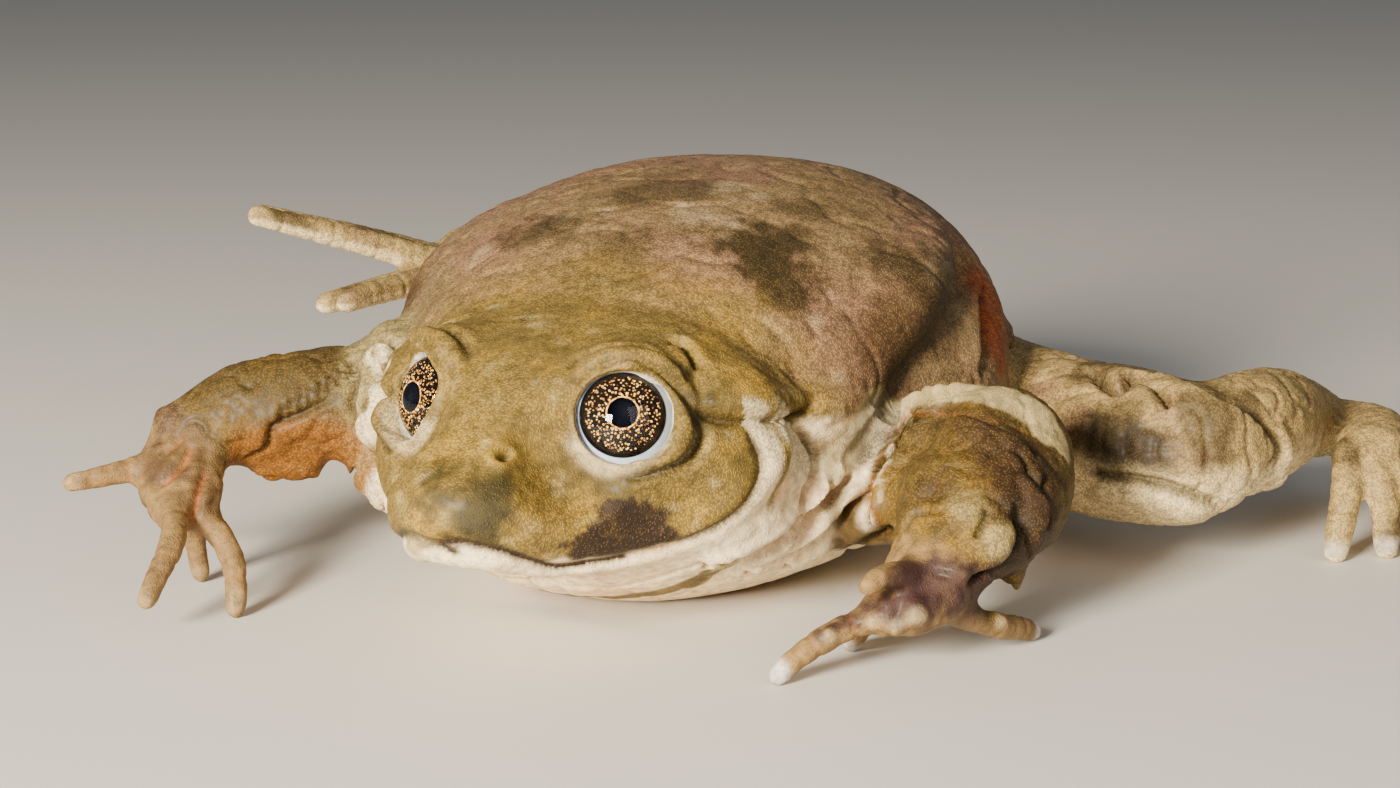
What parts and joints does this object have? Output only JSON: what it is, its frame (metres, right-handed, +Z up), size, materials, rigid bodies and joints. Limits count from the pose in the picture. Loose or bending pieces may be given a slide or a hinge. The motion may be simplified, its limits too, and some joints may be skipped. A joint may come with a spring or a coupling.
{
  "type": "titicaca water frog",
  "caption": "Life-size still titicaca water frog lying on its belly: broad wedge head, baggy folded skin, short arms reaching forward, long webbed hind feet.",
  "frame": {"origin": "middle of the flat patch where the belly lies on the floor, at floor level, on the body's mid-plane", "axes": "+Z up, the frog faces -Y, its own left side is +X"},
  "size_m": [0.1645, 0.1198, 0.0423],
  "materials": {
    "back_skin": "moist olive-tan skin with darker blotches",
    "throat_skin": "moist cream to peach skin in soft folds",
    "limb_skin": "moist brown-olive skin with fine yellow grains",
    "finger_skin": "pale tan skin with near-white tips",
    "eye": "wet black eye speckled with gold"
  },
  "bodies": {
    "root": {"head": "back_skin", "lower_jaw": "throat_skin", "torso": "back_skin", "eye_left": "eye", "eye_right": "eye", "upper_arm_left": "limb_skin", "forearm_left": "limb_skin", "hand_left": "limb_skin", "finger_1_left": "finger_skin", "finger_2_left": "finger_skin", "finger_3_left": "finger_skin", "finger_4_left": "finger_skin", "upper_arm_right": "limb_skin", "forearm_right": "limb_skin", "hand_right": "limb_skin", "finger_1_right": "finger_skin", "finger_2_right": "finger_skin", "finger_3_right": "finger_skin", "finger_4_right": "finger_skin", "thigh_left": "limb_skin", "shank_left": "limb_skin", "foot_left": "limb_skin", "thigh_right": "limb_skin", "shank_right": "limb_skin", "foot_right": "limb_skin"}
  },
  "joints": []
}
